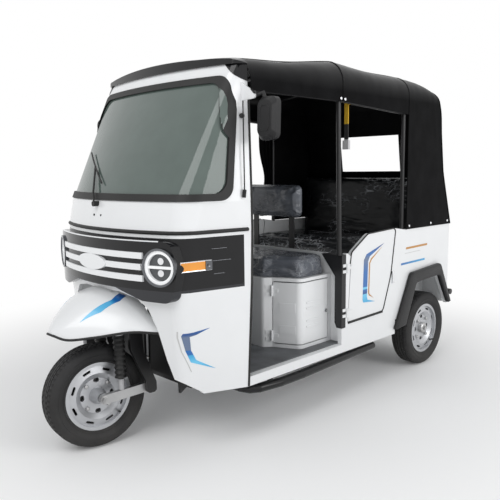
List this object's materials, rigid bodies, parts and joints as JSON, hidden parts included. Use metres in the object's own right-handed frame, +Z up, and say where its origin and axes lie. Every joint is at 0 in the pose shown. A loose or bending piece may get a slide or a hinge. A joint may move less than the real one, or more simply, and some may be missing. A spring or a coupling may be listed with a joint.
{
  "type": "electric passenger tricycle",
  "caption": "Closed-nose electric passenger tricycle with a steered front wheel, soft top on tubes, half doors, battery box under the driver's seat and a rear bench.",
  "frame": {"origin": "on the ground under the middle of the vehicle's box", "axes": "+Y towards the rear along the vehicle, +X towards its left side, +Z up"},
  "size_m": [1.466, 2.7868, 1.938],
  "materials": {
    "white_paint": "gloss",
    "gloss_black": "gloss",
    "black_paint": "satin",
    "canvas": "satin",
    "tyre": "matte",
    "rubber": "matte",
    "rim_silver": "satin",
    "steel": "satin",
    "chrome": "polished",
    "tinted_glass": "gloss",
    "lamp_lens": "gloss",
    "lamp_white": "gloss",
    "amber": "gloss",
    "red_lens": "gloss",
    "vinyl": "satin",
    "mat": "matte",
    "dark_plastic": "matte",
    "strap": "matte"
  },
  "bodies": {
    "body": {"antenna": "dark_plastic", "backrest_brackets": "black_paint", "battery_pack": "dark_plastic", "bench_base": "white_paint", "body_side_left": "white_paint", "body_side_right": "white_paint", "cab_front": "white_paint", "canopy_frame": "black_paint", "canopy_rear": "canvas", "canopy_roof": "canvas", "chassis_frame": "black_paint", "dashboard": "dark_plastic", "door_hinges": "steel", "door_posts": "black_paint", "driver_backrest": "vinyl", "driver_cushion": "vinyl", "floor_mat": "mat", "floor_pan": "white_paint", "front_indicators": "amber", "front_mudguard": "white_paint", "grab_straps": "strap", "grille_bars": "lamp_white", "grille_panel": "gloss_black", "hatch_hinges": "steel", "headlamp_bezels": "chrome", "headlamp_lenses": "lamp_lens", "headlamp_rings": "lamp_white", "leaf_springs": "black_paint", "mirror_glass": "chrome", "mirrors": "dark_plastic", "nose_panel": "white_paint", "partition": "white_paint", "passenger_backrest": "vinyl", "passenger_cushion": "vinyl", "rear_axle": "black_paint", "rear_bumper": "black_paint", "rear_panel": "white_paint", "roof_visor": "gloss_black", "seat_box": "white_paint", "side_steps": "black_paint", "tail_lamps": "red_lens", "wheel_flares": "dark_plastic", "wheel_housing": "dark_plastic", "windscreen_glass": "tinted_glass", "windscreen_seal": "rubber", "wiper": "dark_plastic"},
    "steering": {"fork": "black_paint", "handlebar": "black_paint", "link_arms": "steel", "front_shocks": "rubber"},
    "front_wheel": {"front_rim": "rim_silver", "front_tyre": "tyre"},
    "rear_wheel_left": {"rear_rim_left": "rim_silver", "rear_tyre_left": "tyre"},
    "rear_wheel_right": {"rear_rim_right": "rim_silver", "rear_tyre_right": "tyre"},
    "left_door": {"door_left": "white_paint"},
    "right_door": {"door_right": "white_paint"},
    "hatch": {"battery_hatch": "white_paint"}
  },
  "joints": [
    {"name": "steer", "type": "hinge", "parent": "body", "child": "steering", "pos_m": [0, -1.14255, 0.24891], "axis": [0, 0.342, 0.9397], "range_deg": [-27, 43]},
    {"name": "front_wheel_spin", "type": "hinge", "parent": "steering", "child": "front_wheel", "pos_m": [0, -1.14255, 0.24891], "axis": [0.9903, -0.1308, 0.0476], "continuous": true},
    {"name": "rear_wheel_left_spin", "type": "hinge", "parent": "body", "child": "rear_wheel_left", "pos_m": [0.485, 1.07745, 0.247], "axis": [1, 0, 0], "continuous": true},
    {"name": "rear_wheel_right_spin", "type": "hinge", "parent": "body", "child": "rear_wheel_right", "pos_m": [-0.485, 1.07745, 0.247], "axis": [1, 0, 0], "continuous": true},
    {"name": "left_door_hinge", "type": "hinge", "parent": "body", "child": "left_door", "pos_m": [0.578, 0.13145, 0.652], "axis": [0, 0, -1], "range_deg": [0, 85]},
    {"name": "right_door_hinge", "type": "hinge", "parent": "body", "child": "right_door", "pos_m": [-0.578, 0.13145, 0.652], "axis": [0, 0, 1], "range_deg": [0, 85]},
    {"name": "hatch_hinge", "type": "hinge", "parent": "body", "child": "hatch", "pos_m": [0.322, -0.21755, 0.543], "axis": [0, 0, -1], "range_deg": [0, 100]}
  ]
}
